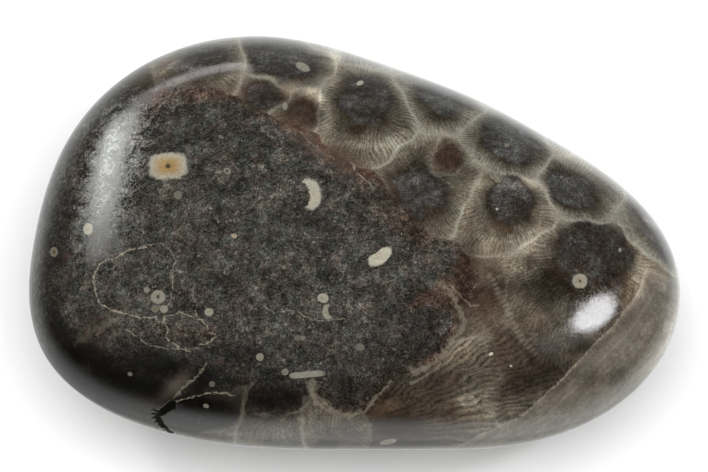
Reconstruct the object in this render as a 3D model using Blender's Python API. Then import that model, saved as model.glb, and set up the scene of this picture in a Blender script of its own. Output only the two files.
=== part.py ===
"""A hand-polished stone cut from a fossil coral head, as one closed solid.

Metres, +Z up. The stone lies on a small flat on its underside, its broad end towards -X.
A plan outline is swept up to a domed crown and down to the flat base, both on an ellipse.
"""

import math

import bmesh
import bpy
from mathutils import Vector

mm = 0.001

# Heights of the stone, from the surface it rests on.
crown_height = 26 * mm
belt_height = 12 * mm            # the widest section
base_share = 0.46                # the flat base, as a share of the outline

# Plan outline at the belt: control distances from the middle every 22.5 degrees,
# from +X round by +Y, in mm. Towards the crown the sections round off to an ellipse.
outline_pull = [38.1, 26.5, 23.0, 21.9, 23.9, 30.1, 35.1, 37.0,
                36.9, 40.4, 32.8, 27.4, 25.5, 27.4, 34.4, 39.4]
crown_length = 72 * mm
crown_width = 50 * mm

# The open crevice at the front left: x, y, z on the surface, width there and depth, in mm,
# from the wide pit at its top down to where the crack closes.
crevice = [(-19.6, -23.7, 16.2, 0.4, 0.3),
           (-20.3, -23.9, 15.7, 1.0, 1.0),
           (-21.2, -24.0, 15.0, 0.9, 1.1),
           (-21.9, -24.1, 13.9, 0.6, 0.9),
           (-22.1, -24.3, 12.9, 0.4, 0.7),
           (-21.4, -24.6, 11.6, 0.4, 0.6),
           (-20.5, -24.7, 10.5, 0.3, 0.5),
           (-19.3, -24.5, 9.0, 0.2, 0.2)]
cutter_proud = 0.6 * mm          # how far the cutter stands out of the surface

segments = 96
dome_rings = 18
underside_rings = 11


def outline_radius(angle):
    """The belt's outline: a closed cubic B-spline of the distances in outline_pull."""
    place = angle / math.tau * len(outline_pull)
    first = math.floor(place)
    t = place - first
    a, b, c, d = (outline_pull[(first + step) % len(outline_pull)] for step in (-1, 0, 1, 2))
    return ((1 - t)**3 * a + (3 * t**3 - 6 * t**2 + 4) * b
            + (1 + 3 * t + 3 * t**2 - 3 * t**3) * c + t**3 * d) / 6 * mm


def crown_radius(angle):
    """The ellipse that the sections near the crown round off to."""
    across, along = crown_width / 2, crown_length / 2
    return across * along / math.hypot(across * math.cos(angle), along * math.sin(angle))


def profile():
    """(share of the outline, height) of each ring, from the base up to just under the crown."""
    base_turn = math.acos(base_share)
    underside_depth = belt_height / math.sin(base_turn)
    rings = []
    for ring in range(underside_rings):
        turn = base_turn * (1 - ring / underside_rings)
        rings.append((math.cos(turn), belt_height - underside_depth * math.sin(turn)))
    for ring in range(dome_rings):
        turn = math.pi / 2 * ring / dome_rings
        rings.append((math.cos(turn), belt_height + (crown_height - belt_height) * math.sin(turn)))
    return rings


def place_ring(verts, share, height):
    """Moves the verts of one ring, in order round the stone, to their place."""
    for number, vert in enumerate(verts):
        angle = math.tau * number / segments
        outline = outline_radius(angle)
        if height > belt_height:
            outline += (1 - share**1.5) * (crown_radius(angle) - outline)
        vert.co = Vector((share * outline * math.cos(angle), share * outline * math.sin(angle), height))


def build_stone():
    bm = bmesh.new()
    rings = profile()
    ring = bmesh.ops.create_circle(bm, cap_ends=True, radius=1, segments=segments)["verts"]
    place_ring(ring, *rings[0])
    edges = list(bm.edges)
    for share, height in rings[1:]:
        made = bmesh.ops.extrude_edge_only(bm, edges=edges)["geom"]
        edges = [item for item in made if isinstance(item, bmesh.types.BMEdge)]
        raised = {item for item in made if isinstance(item, bmesh.types.BMVert)}
        ring = [next(edge.other_vert(vert) for edge in vert.link_edges if edge.other_vert(vert) in raised)
                for vert in ring]
        place_ring(ring, share, height)
    made = bmesh.ops.extrude_edge_only(bm, edges=edges)["geom"]
    bmesh.ops.pointmerge(bm, verts=[item for item in made if isinstance(item, bmesh.types.BMVert)],
                         merge_co=(0, 0, crown_height))
    bmesh.ops.recalc_face_normals(bm, faces=bm.faces)
    middle = [(min(vert.co[axis] for vert in bm.verts) + max(vert.co[axis] for vert in bm.verts)) / 2
              for axis in (0, 1)]
    bmesh.ops.translate(bm, verts=bm.verts, vec=(-middle[0], -middle[1], 0))
    return new_object("fossil_coral_stone", bm)


def new_object(name, bm):
    mesh = bpy.data.meshes.new(name)
    bm.to_mesh(mesh)
    bm.free()
    thing = bpy.data.objects.new(name, mesh)
    bpy.context.scene.collection.objects.link(thing)
    return thing


def outward(point):
    """The way the surface faces at a point on it, as on an ellipsoid of the stone's size."""
    reach = crown_height - belt_height if point.z > belt_height else belt_height
    return Vector((point.x / (crown_length / 2)**2, point.y / (crown_width / 2)**2,
                   (point.z - belt_height) / reach**2)).normalized()


def carve_crevice(stone):
    """Cuts a V-shaped crevice along the points of crevice."""
    bm = bmesh.new()
    points = [Vector(place[:3]) * mm for place in crevice]
    previous = []
    for number, point in enumerate(points):
        width, depth = (value * mm for value in crevice[number][3:])
        before, after = points[max(number - 1, 0)], points[min(number + 1, len(points) - 1)]
        out = outward(point)
        side = (after - before).cross(out).normalized() * width / 2 * (depth + cutter_proud) / depth
        corners = [point + out * cutter_proud + side, point + out * cutter_proud - side,
                   point - out * depth]
        verts = [bm.verts.new(corner) for corner in corners]
        loop = [bm.edges.new((verts[corner - 1], verts[corner])) for corner in range(3)]
        if previous:
            bmesh.ops.bridge_loops(bm, edges=previous + loop)
        previous = loop
    bmesh.ops.holes_fill(bm, edges=bm.edges, sides=3)
    bmesh.ops.recalc_face_normals(bm, faces=bm.faces)
    cutter = new_object("crevice_cutter", bm)
    cutter.hide_render = True
    cut = stone.modifiers.new("crevice", "BOOLEAN")
    cut.operation = "DIFFERENCE"
    cut.solver = "EXACT"
    cut.object = cutter


def polished_stone():
    material = bpy.data.materials.new("polished_stone")
    material.use_nodes = True
    shader = material.node_tree.nodes["Principled BSDF"]
    shader.inputs["Base Color"].default_value = (0.075, 0.066, 0.058, 1)
    shader.inputs["Roughness"].default_value = 0.12
    shader.inputs["Metallic"].default_value = 0
    return material


def main():
    for thing in list(bpy.data.objects):
        bpy.data.objects.remove(thing)
    stone = build_stone()
    carve_crevice(stone)
    stone.data.materials.append(polished_stone())


main()
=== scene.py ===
import math

import bmesh
import bpy
import numpy as np
from mathutils import Matrix, Vector


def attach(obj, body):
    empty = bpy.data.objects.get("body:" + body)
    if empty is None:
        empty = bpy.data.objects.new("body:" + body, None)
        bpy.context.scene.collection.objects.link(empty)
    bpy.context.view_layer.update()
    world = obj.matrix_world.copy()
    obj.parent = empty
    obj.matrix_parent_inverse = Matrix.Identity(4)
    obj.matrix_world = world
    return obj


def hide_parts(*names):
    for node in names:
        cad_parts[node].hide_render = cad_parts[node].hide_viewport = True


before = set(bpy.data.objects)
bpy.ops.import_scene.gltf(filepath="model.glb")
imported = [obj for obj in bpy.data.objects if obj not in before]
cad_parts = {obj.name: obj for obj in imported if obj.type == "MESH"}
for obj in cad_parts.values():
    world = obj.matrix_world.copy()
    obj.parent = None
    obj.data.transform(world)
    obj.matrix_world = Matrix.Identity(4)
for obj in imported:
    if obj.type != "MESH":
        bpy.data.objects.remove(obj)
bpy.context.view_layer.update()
mm = 0.001

# The view: one eye point above the front of the stone. The coral pattern is laid out on a flat
# sheet of 708 by 472 units, as that eye sees it, and thrown from there on to the stone.
viewing = {"elevation": 60, "distance": 450, "aimHeight": 12, "sheetUnit": 0.117,
           "middle": (354.14, 237.8), "sheetSize": (708, 472)}
unit = viewing["sheetUnit"]  # mm of stone for one unit of the sheet


def viewAxes():
    tilt = math.radians(viewing["elevation"])
    back = np.array([0, -math.cos(tilt), math.sin(tilt)])
    up = np.array([0, math.sin(tilt), math.cos(tilt)])
    return back, up


def onSheet(points):
    # points are in mm. The result is the place of each one on the sheet.
    back, up = viewAxes()
    aim = np.array([0, 0, viewing["aimHeight"]])
    ray = points - aim - back * viewing["distance"]
    depth = -(ray @ back)
    spread = viewing["distance"] / unit / depth
    across = viewing["middle"][0] + points[:, 0] * spread
    down = viewing["middle"][1] - ((points - aim) @ up) * spread
    return np.stack([across, down], axis=1)


def eyeFacing(places, normals):
    # 1 where the stone faces the eye, 0 at its edge and less than 0 behind.
    back, _ = viewAxes()
    ray = np.array([0, 0, viewing["aimHeight"]]) + back * viewing["distance"] - places
    ray /= np.linalg.norm(ray, axis=1, keepdims=True)
    return (ray * normals).sum(1)


def makeCamera():
    back, _ = viewAxes()
    lens = bpy.data.cameras.new("studioCamera")
    camera = bpy.data.objects.new("studioCamera", lens)
    bpy.context.scene.collection.objects.link(camera)
    camera.location = Vector(back * viewing["distance"]) * mm + Vector((0, 0, viewing["aimHeight"] * mm))
    camera.rotation_euler = (math.pi / 2 - math.radians(viewing["elevation"]), 0, 0)
    lens.sensor_width = 36
    width, height = viewing["sheetSize"]
    lens.lens = lens.sensor_width * viewing["distance"] / (width * unit)
    lens.shift_x = (width / 2 - viewing["middle"][0]) / width
    lens.shift_y = (viewing["middle"][1] - height / 2) / width
    lens.clip_start, lens.clip_end = 0.01, 20
    bpy.context.scene.camera = camera


makeCamera()
print("camera placed")

# The same numbers as the solid that this stone stands for, in mm, then how fine its mesh is: it is
# cut finer three times more, nearer to the crevice each time.
stoneShape = {"crown": 26, "belt": 12, "baseShare": 0.46, "crownLength": 72, "crownWidth": 50,
              "outlinePull": [38.1, 26.5, 23.0, 21.9, 23.9, 30.1, 35.1, 37.0,
                              36.9, 40.4, 32.8, 27.4, 25.5, 27.4, 34.4, 39.4],
              "domeLean": 0.20, "baseRound": 0.35, "cuts": 103, "finerWithin": (2.0, 1.4, 0.95)}


def outlineRadius(angle):
    pull = np.array(stoneShape["outlinePull"])
    place = np.mod(angle, math.tau) / math.tau * len(pull)
    first = np.floor(place).astype(int)
    t = place - first
    a, b, c, d = (pull[(first + step) % len(pull)] for step in (-1, 0, 1, 2))
    return ((1 - t)**3 * a + (3 * t**3 - 6 * t**2 + 4) * b
            + (1 + 3 * t + 3 * t**2 - 3 * t**3) * c + t**3 * d) / 6


def beltMiddle():
    angle = np.arange(96) * math.tau / 96
    radius = outlineRadius(angle)
    x, y = radius * np.cos(angle), radius * np.sin(angle)
    return np.array([(x.min() + x.max()) / 2, (y.min() + y.max()) / 2, 0])


def stonePoints(cube):
    # cube holds points on a cube of size 2. They are spread evenly over a ball, then swept
    # up to the crown and down to the flat base.
    ball = np.tan(cube * math.pi / 4)
    ball /= np.linalg.norm(ball, axis=1, keepdims=True)
    angle = np.arctan2(ball[:, 1], ball[:, 0])
    turn = np.arcsin(np.clip(ball[:, 2], -1, 1))
    turn = np.minimum(turn + stoneShape["domeLean"] * np.cos(turn)**2, math.pi / 2)
    share = np.cos(turn)
    belt, crown = stoneShape["belt"], stoneShape["crown"]
    underside = belt / math.sin(math.acos(stoneShape["baseShare"]))
    height = belt + np.where(turn > 0, crown - belt, underside) * np.sin(turn)
    soft = stoneShape["baseRound"]
    lift = np.clip(0.5 + height / (2 * soft), 0, 1)
    height = height * lift + soft * lift * (1 - lift)
    radius = outlineRadius(angle)
    across, along = stoneShape["crownWidth"] / 2, stoneShape["crownLength"] / 2
    ellipse = across * along / np.hypot(across * np.cos(angle), along * np.sin(angle))
    radius = np.where(turn > 0, radius + (1 - share**1.5) * (ellipse - radius), radius)
    radius = share * radius
    return np.stack([radius * np.cos(angle), radius * np.sin(angle), height], 1) - beltMiddle()


# The open crevice at the front left. path: x and y on the sheet, half width and depth in mm.
# comb: the fine grooves on its left, each from one place on the sheet to another.
crevice = {"path": [(175, 402.5, 0.16, 0.25), (172, 405, 0.5, 1.0), (167.5, 408, 0.5, 1.1),
                    (162, 411.5, 0.36, 0.9), (158, 415.5, 0.34, 0.75), (158.5, 420.5, 0.3, 0.65),
                    (163, 426, 0.27, 0.55), (169, 431, 0.2, 0.42), (176, 435.5, 0.12, 0.25),
                    (184, 439, 0.04, 0.06)],
           "comb": [(159, 411.5, 153, 409), (157.5, 414, 151, 413.5), (156.5, 417, 150.5, 418.5),
                    (157.5, 420, 152, 423.5), (160, 424, 156, 428), (165, 428.5, 161.5, 432)],
           "combWidth": 0.15, "combDepth": 0.16}


def segmentPlaces(points, start, end):
    # From the line through start and end: how far each point is to its side, signed, how far past
    # its ends, and how far along it, as a share.
    start, end = np.array(start, float), np.array(end, float)
    length = np.linalg.norm(end - start)
    way = (end - start) / length
    offset = points - start
    along = offset @ way
    aside = offset[:, 0] * way[1] - offset[:, 1] * way[0]
    past = np.maximum(0, np.maximum(-along, along - length))
    return aside, past, np.clip(along / length, 0, 1)


def awayFrom(points, start, end):
    aside, past, along = segmentPlaces(points, start, end)
    return np.hypot(aside, past), along


# Nothing in the stone is straight: points are swayed by a few crossed waves before a pattern is
# laid. For each pattern: the shortest and longest wave and how far it sways.
wandering = {"seed": 12, "waves": 9, "cells": (15, 34, 2.0), "backCells": (1.8, 4.0, 0.28),
             "ground": (9, 26, 2.2), "crevice": (4, 10, 0.55)}


def wander(points, kind):
    shortest, longest, amount = wandering[kind]
    dice = np.random.default_rng(wandering["seed"])
    swayed = points.astype(float).copy()
    for _ in range(wandering["waves"]):
        way = dice.normal(size=points.shape[1])
        way /= np.linalg.norm(way)
        length = shortest + (longest - shortest) * dice.random()
        push = dice.normal(size=points.shape[1])
        push *= amount * 0.55 * (length / longest) / np.linalg.norm(push)
        swayed += np.sin(points @ way * math.tau / length + dice.random() * math.tau)[:, None] * push
    return swayed


def creviceStretches(sheet):
    # Along each stretch of the path: how far every point is from it, and its half width and depth there.
    for first, second in zip(crevice["path"], crevice["path"][1:]):
        away, along = awayFrom(sheet, first[:2], second[:2])
        width, deep = (first[part] + (second[part] - first[part]) * along for part in (2, 3))
        yield away * unit, width, deep


def creviceDepth(sheet):
    depth = np.zeros(len(sheet))
    for away, width, deep in creviceStretches(sheet):
        depth = np.maximum(depth, deep * np.sqrt(np.clip(1 - (away / width)**2, 0, 1)))
    for x, y, endX, endY in crevice["comb"]:
        away, along = awayFrom(sheet, (x, y), (endX, endY))
        width = crevice["combWidth"] * (1.1 - 0.6 * along)
        groove = crevice["combDepth"] * (1 - 0.6 * along) * np.clip(1 - (away * unit / width)**2, 0, 1)
        depth = np.maximum(depth, groove)
    return depth


def stoneMesh():
    bm = bmesh.new()
    bmesh.ops.create_cube(bm, size=2)
    bmesh.ops.subdivide_edges(bm, edges=bm.edges, cuts=stoneShape["cuts"], use_grid_fill=True)
    for reach in stoneShape["finerWithin"]:
        middles = stonePoints(np.array([(edge.verts[0].co + edge.verts[1].co) / 2 for edge in bm.edges]))
        near = np.min([away for away, _, _ in creviceStretches(onSheet(middles))], axis=0)
        edges = list(bm.edges)
        picked = [edges[number] for number in np.nonzero((near < reach) & (middles[:, 1] < 0))[0]]
        bmesh.ops.subdivide_edges(bm, edges=picked, cuts=1, use_grid_fill=True)
    return bm


def buildStone():
    bm = stoneMesh()
    places = stonePoints(np.array([vert.co for vert in bm.verts]))
    for vert, place in zip(bm.verts, places):
        vert.co = place * mm
    bmesh.ops.recalc_face_normals(bm, faces=bm.faces)
    bm.normal_update()
    normals = np.array([vert.normal for vert in bm.verts])
    depth = creviceDepth(wander(onSheet(places), "crevice")) * (places[:, 1] < 0)
    for vert, normal, deep in zip(bm.verts, normals, depth):
        if deep > 0:
            vert.co -= Vector(normal) * deep * mm
    for face in bm.faces:
        face.smooth = True
    mesh = bpy.data.meshes.new("coralStone")
    bm.to_mesh(mesh)
    bm.free()
    stone = bpy.data.objects.new("coralStone", mesh)
    bpy.context.scene.collection.objects.link(stone)
    return stone, places, normals, depth


stone, stonePlaces, stoneNormals, stoneDepth = buildStone()
print("stone shaped:", sum(len(face.vertices) - 2 for face in stone.data.polygons), "triangles")


# From here the pattern is laid on the mesh as attributes, which the material reads.
def faceCorners(mesh):
    # Each corner's point, each corner's face, and each face's number of corners.
    corners = np.zeros(len(mesh.loops), np.int32)
    mesh.loops.foreach_get("vertex_index", corners)
    totals = np.zeros(len(mesh.polygons), np.int32)
    mesh.polygons.foreach_get("loop_total", totals)
    return corners, np.repeat(np.arange(len(totals)), totals), totals


def faceMean(values):
    means = [np.bincount(owner, column[corners]) / totals for column in values.reshape(len(values), -1).T]
    return means[0] if values.ndim == 1 else np.stack(means, 1)


def columns(*values):
    return np.stack(np.broadcast_arrays(*values), 1)


def keep(name, values, domain="CORNER"):
    kind, slot = ("FLOAT", "value") if values.ndim == 1 else ("FLOAT_VECTOR", "vector")
    layer = stone.data.attributes.new(name, kind, domain)
    layer.data.foreach_set(slot, values.astype(np.float32).ravel())


def ovalPlaces(oval, sheet):
    # Places in an oval's own terms: 1 is its edge.
    x, y, along, across, turn = oval
    turn = math.radians(turn)
    dx, dy = sheet[:, 0] - x, sheet[:, 1] - y
    u = (dx * math.cos(turn) + dy * math.sin(turn)) / along
    v = (-dx * math.sin(turn) + dy * math.cos(turn)) / across
    return u, v


def everywhere(*values):
    return np.tile(np.array(values, float), (len(corners), 1))


def sideways(way, hint):
    # Two ways along the surface, square to each other.
    side = np.cross(way, hint)
    side /= np.linalg.norm(side)
    return side, np.cross(way, side)


def nearestOf(distances, reach):
    # For each corner, the number of the thing that lies nearest to its face, or -1.
    best, nearest = np.full(len(totals), float(reach)), np.full(len(totals), -1)
    for number, away in enumerate(distances):
        nearest[away < best] = number
        best = np.minimum(best, away)
    return nearest[owner]


sheet, facing = onSheet(stonePlaces), eyeFacing(stonePlaces, stoneNormals)
corners, owner, totals = faceCorners(stone.data)
centreSheet, centreFacing = faceMean(sheet), faceMean(facing)
# Where the patterns end round the edge, by how much the stone faces the eye: the ground and the
# tones fade from one value to the other, and the rest stop at theirs.
overEdge = {"ground": (-0.225, 0.025), "tones": (-0.2, 0), "grains": -0.1, "lines": 0, "flank": 0.1}
outOfSight = 99  # further than anything is looked for


def fading(kind):
    low, high = overEdge[kind]
    return np.clip((facing - low) / (high - low), 0, 1)


def hiddenAway(kind):
    return np.where(centreFacing > overEdge[kind], 0, outOfSight)

# The coral cells. wall is where the cell's own ground reaches: x, y, reach along and across, turn.
# heart is its dark centre in the same terms. finish is how dark the heart is, how pale and how
# brown the cell is round it, and how strong its rays are. fork below 1 keeps the rays from forking.
coralCells = {
    "leftRim": {"wall": (108, 112, 48, 30, -40), "heart": (104, 116, 20, 12, -45),
                "finish": (0.4, 0.25, 0.5, 0.3)},
    "topLeft": {"wall": (204, 76, 45, 30, 0), "heart": (196, 60, 31, 13, -8),
                "finish": (0.6, 0.75, 0.5, 0.6)},
    "top": {"wall": (289, 72, 47, 28, 11), "heart": (281, 61, 31, 19, 12), "finish": (0.8, 0.62, 0.4, 0.7)},
    "topBack": {"wall": (361, 28, 64, 32, 16), "heart": (366, 20, 20, 14, 20),
                "finish": (0.3, 0.75, 0.2, 1)},
    "upperLeft": {"wall": (349, 117, 59, 46, 12), "heart": (366, 101, 26, 24, 0),
                  "finish": (0.8, 0.8, 0.4, 1.2)},
    "upperMiddle": {"wall": (441, 92, 48, 34, 57), "heart": (440, 102, 19, 12, 25),
                    "finish": (0.75, 0.78, 0.15, 1)},
    "backMiddle": {"wall": (500, 70, 30, 30, 30), "heart": (505, 62, 14, 12, 30),
                   "finish": (0.5, 0.7, 0.2, 1)},
    "smallBrown": {"wall": (445, 168, 37, 24, -55), "heart": (448, 157, 9, 7, 0),
                   "finish": (0.0, 0.7, 0.9, 0.6)},
    "upperRight": {"wall": (506, 149, 54, 34, 15), "heart": (510, 142, 29, 19, 28),
                   "finish": (0.75, 0.75, 0.05, 1)},
    "backRight": {"wall": (574, 134, 34, 30, 29), "heart": (590, 125, 14, 12, 30),
                  "finish": (0.4, 0.7, 0.2, 1)},
    "rightUpper": {"wall": (583, 180, 51, 33, 13), "heart": (571, 190, 26, 16, 27),
                   "finish": (0.75, 0.72, 0.15, 1)},
    "rightRim": {"wall": (653, 226, 49, 23, 48), "heart": (657, 232, 30, 12, 60),
                 "finish": (0.5, 0.8, 0, 0.4)},
    "middle": {"wall": (492, 207, 56, 45, -26), "heart": (511, 201, 22, 23, 0),
               "finish": (0.85, 0.78, 0.6, 0.9)},
    "inner": {"wall": (441, 191, 59, 50, 9), "heart": (422, 188, 26, 25, 0),
              "finish": (0.85, 0.6, 0.45, 0.7)},
    "rightLarge": {"wall": (569, 299, 86, 60, -18), "heart": (594, 253, 37, 36, 0),
                   "finish": (0.85, 0.6, 0.75, 0.8)},
    "lowerRight": {"wall": (510, 369, 42, 61, -31), "heart": (352, 438, 50, 38, 0), "fork": 0.5,
                   "finish": (0, 0.32, 0.85, 1.5)},
    "bottomRight": {"wall": (451, 373, 93, 58, -27), "heart": (352, 438, 50, 38, 0), "fork": 0.5,
                    "finish": (0, 0.6, 0.6, 2.0)},
    "innerLow": {"wall": (454, 314, 69, 58, -25), "heart": (466, 300, 20, 16, 0),
                 "finish": (0, 0.6, 0.8, 0.6)},
    "bottomLeft": {"wall": (207, 414, 47, 26, -9), "heart": (200, 414, 34, 12, 3),
                   "finish": (0.6, 0.5, 0.2, 0.4)},
    "bottom": {"wall": (271, 422, 41, 27, 22), "heart": (268, 400, 30, 15, 0),
               "finish": (0.8, 0.5, 0.3, 0.8)},
    "bottomMiddle": {"wall": (333, 427, 39, 23, 3), "heart": (324, 450, 12, 8, 0),
                     "finish": (0.1, 0.6, 0.4, 0.5)},
    "edgeDark": {"wall": (268, 97, 40, 28, 10), "heart": (263, 95, 17, 14, 0),
                 "finish": (0.9, 0.6, 0.5, 0.5)},
    "edgeBrown": {"wall": (296, 114, 49, 36, -26), "heart": (301, 113, 11, 10, 0),
                  "finish": (0.4, 0.62, 0.45, 0.5)},
}
# The cells out of the eye's reach are set out evenly over the back and the underside. Sizes are in
# mm; lean is how fast a cell in view ends round the edge, and shy how fast these ones do.
backCells = {"spacing": 9.6, "reach": 5.3, "heart": 2.7, "jog": 0.9, "turnedAway": -0.24, "lean": 14,
             "shy": 3, "seed": 7}


def backCentres():
    # Farthest-point sampling over the side that is turned away.
    hidden = np.nonzero(facing < backCells["turnedAway"])[0]
    spots = stonePlaces[hidden]
    dice = np.random.default_rng(backCells["seed"])
    chosen = [int(dice.integers(len(spots)))]
    away = np.linalg.norm(spots - spots[chosen[0]], axis=1)
    while away.max() > backCells["spacing"]:
        chosen.append(int(away.argmax()))
        away = np.minimum(away, np.linalg.norm(spots - spots[chosen[-1]], axis=1))
    picked = hidden[chosen]
    jog = dice.normal(0, backCells["jog"], (len(picked), 3))
    return list(zip(stonePlaces[picked] + jog, stoneNormals[picked], dice.random((len(picked), 4))))


def wallDistance(cell, atSheet, atFacing):
    u, v = ovalPlaces(cell["wall"], atSheet)
    behind = np.maximum(0, -atFacing) * backCells["lean"] / backCells["reach"]
    return np.sqrt(u**2 + v**2 + behind**2)


def cellDistances(at, atSheet, atFacing, hiddenCells):
    seen = [wallDistance(cell, atSheet, atFacing) for cell in coralCells.values()]
    turned = backCells["shy"] * np.maximum(0, atFacing)
    unseen = [np.linalg.norm(at - point, axis=1) / backCells["reach"] + turned for point, _, _ in hiddenCells]
    return np.stack(seen + unseen)


def wallParting(order, atCentre, atSheet):
    # How fast the first two distances part, so that a wall's width comes out in mm.
    nudge, least = 0.5, 0.15
    slopes = np.zeros((2, len(totals), 2))
    for number, cell in enumerate(coralCells.values()):
        for rank in (0, 1):
            mine = order[rank] == number
            for axis in (0, 1):
                moved = atSheet[mine].copy()
                moved[:, axis] += nudge
                change = wallDistance(cell, moved, centreFacing[mine]) - atCentre[number, mine]
                slopes[rank, mine, axis] = change / nudge / unit
    parting = np.linalg.norm(slopes[0] - slopes[1], axis=1)
    hidden = (order[:2] >= len(coralCells)).any(0) | (centreFacing < 0)
    return np.where(hidden, 2 / backCells["reach"], np.maximum(parting, least))


def layRays(cellOf, atSheet, at, hiddenCells):
    # Where each corner lies from the dark heart of its face's cell. The third value numbers the
    # cell in tens and holds its heart's size in mm.
    septum, finish, touch = everywhere(0, 0, 0), everywhere(0, 0, 0), everywhere(1, 1, 1)
    for number, cell in enumerate(coralCells.values()):
        mine = cellOf == number
        heart = cell["heart"]
        size = (heart[2] + heart[3]) / 2 * unit * cell.get("fork", 1)
        septum[mine] = columns(*ovalPlaces(heart, atSheet[corners[mine]]), number * 10 + size)
        finish[mine] = cell["finish"][:3]
        touch[mine, 0] = cell["finish"][3]
    for number, (point, way, dice) in enumerate(hiddenCells):
        mine = cellOf == len(coralCells) + number
        side, across = sideways(way, [0.3, 0.2, 0.93])
        offset = (at[corners[mine]] - point) / (backCells["heart"] * (0.8 + 0.4 * dice[0]))
        mark = number * 10 + 1000 + backCells["heart"]
        septum[mine] = columns(offset @ side, offset @ across, mark)
        finish[mine] = (0.45 + 0.45 * dice[1], 0.35 + 0.35 * dice[2], 0.2 + 0.6 * dice[3])
    keep("septum", septum)
    keep("cellFinish", finish)
    keep("cellTouch", touch)


def layCells():
    swayedSheet, swayed = wander(sheet, "cells"), wander(stonePlaces, "backCells")
    atSheet, hiddenCells = faceMean(swayedSheet), backCentres()
    atCentre = cellDistances(faceMean(swayed), atSheet, centreFacing, hiddenCells)
    order = np.argsort(atCentre, axis=0)[:3]
    atPoint = cellDistances(swayed, swayedSheet, facing, hiddenCells)
    nearest3 = columns(*(atPoint[order[rank][owner], corners] for rank in range(3)))
    keep("cellReach", nearest3 / wallParting(order, atCentre, atSheet)[owner][:, None])
    layRays(order[0][owner], swayedSheet, swayed, hiddenCells)


layCells()
print("coral cells laid:", len(coralCells), "in view")

# Where the fine dark ground of shell sand lies between the cells, on the sheet, and its patches
# out of the eye's reach: x, y, z and size in mm.
ground = {
    "outline": [(150, 92), (172, 88), (200, 85), (222, 90), (240, 100), (252, 110), (270, 114), (286, 124),
                (305, 126), (320, 139), (334, 150), (345, 160), (360, 167), (374, 170), (383, 182),
                (390, 193), (404, 212), (430, 235), (446, 240), (460, 245), (468, 254), (472, 268),
                (478, 282), (474, 297), (462, 300), (452, 291), (444, 284), (446, 296), (455, 312),
                (460, 325), (456, 336), (448, 343), (439, 358), (430, 367), (412, 371), (400, 374),
                (391, 380), (380, 391), (374, 400), (367, 406), (352, 413), (335, 408), (322, 396),
                (311, 384), (306, 396), (301, 408), (287, 414), (262, 417), (246, 414), (245, 398),
                (252, 384), (240, 386), (232, 394), (213, 393), (196, 395), (174, 400), (156, 402),
                (140, 410), (110, 420), (60, 420), (20, 380), (-20, 300), (-20, 200), (20, 120), (84, 70),
                (128, 84)],
    "back": [(-36, 6, 8, 9), (-24, -14, 0, 8), (-30, 14, 4, 7), (4, -6, 0, 10), (-10, 4, 0, 7),
             (18, 22, 9, 5)],
}


def insideBy(outline, points):
    # Signed distance to a closed outline on the sheet, in mm, positive inside.
    best = np.full(len(points), 1e9)
    crossings = np.zeros(len(points), bool)
    for first, second in zip(outline, outline[1:] + outline[:1]):
        best = np.minimum(best, awayFrom(points, first, second)[0])
        spans = (first[1] > points[:, 1]) != (second[1] > points[:, 1])
        if first[1] != second[1]:
            slant = (second[0] - first[0]) / (second[1] - first[1])
            crossings ^= spans & (points[:, 0] < first[0] + (points[:, 1] - first[1]) * slant)
    return np.where(crossings, best, -best) * unit


def layGround():
    seen = insideBy(ground["outline"], wander(sheet, "ground"))
    unseen = np.full(len(sheet), -6.0)
    for x, y, z, size in ground["back"]:
        unseen = np.maximum(unseen, size - np.linalg.norm(stonePlaces - (x, y, z), axis=1))
    share = fading("ground")
    share = share * share * (3 - 2 * share)
    keep("ground", seen * share + unseen * (1 - share), "POINT")


layGround()

# The long-cut coral along the right: it starts at this line and runs to the rim. lean is how fast
# it ends round the edge.
flank = {"line": [(645, 268), (639, 289), (629.5, 304), (613.5, 326), (591, 348), (575, 366), (559, 382),
                  (537, 403), (518, 418), (494, 428), (474, 438), (440, 452), (400, 470)],
         "rest": [(700, 500), (760, 300), (690, 288), (662, 274)], "lean": 12}
flankReach = insideBy(flank["line"] + flank["rest"], sheet)
keep("flank", flankReach - np.maximum(0, overEdge["flank"] - facing) * flank["lean"], "POINT")

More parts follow.
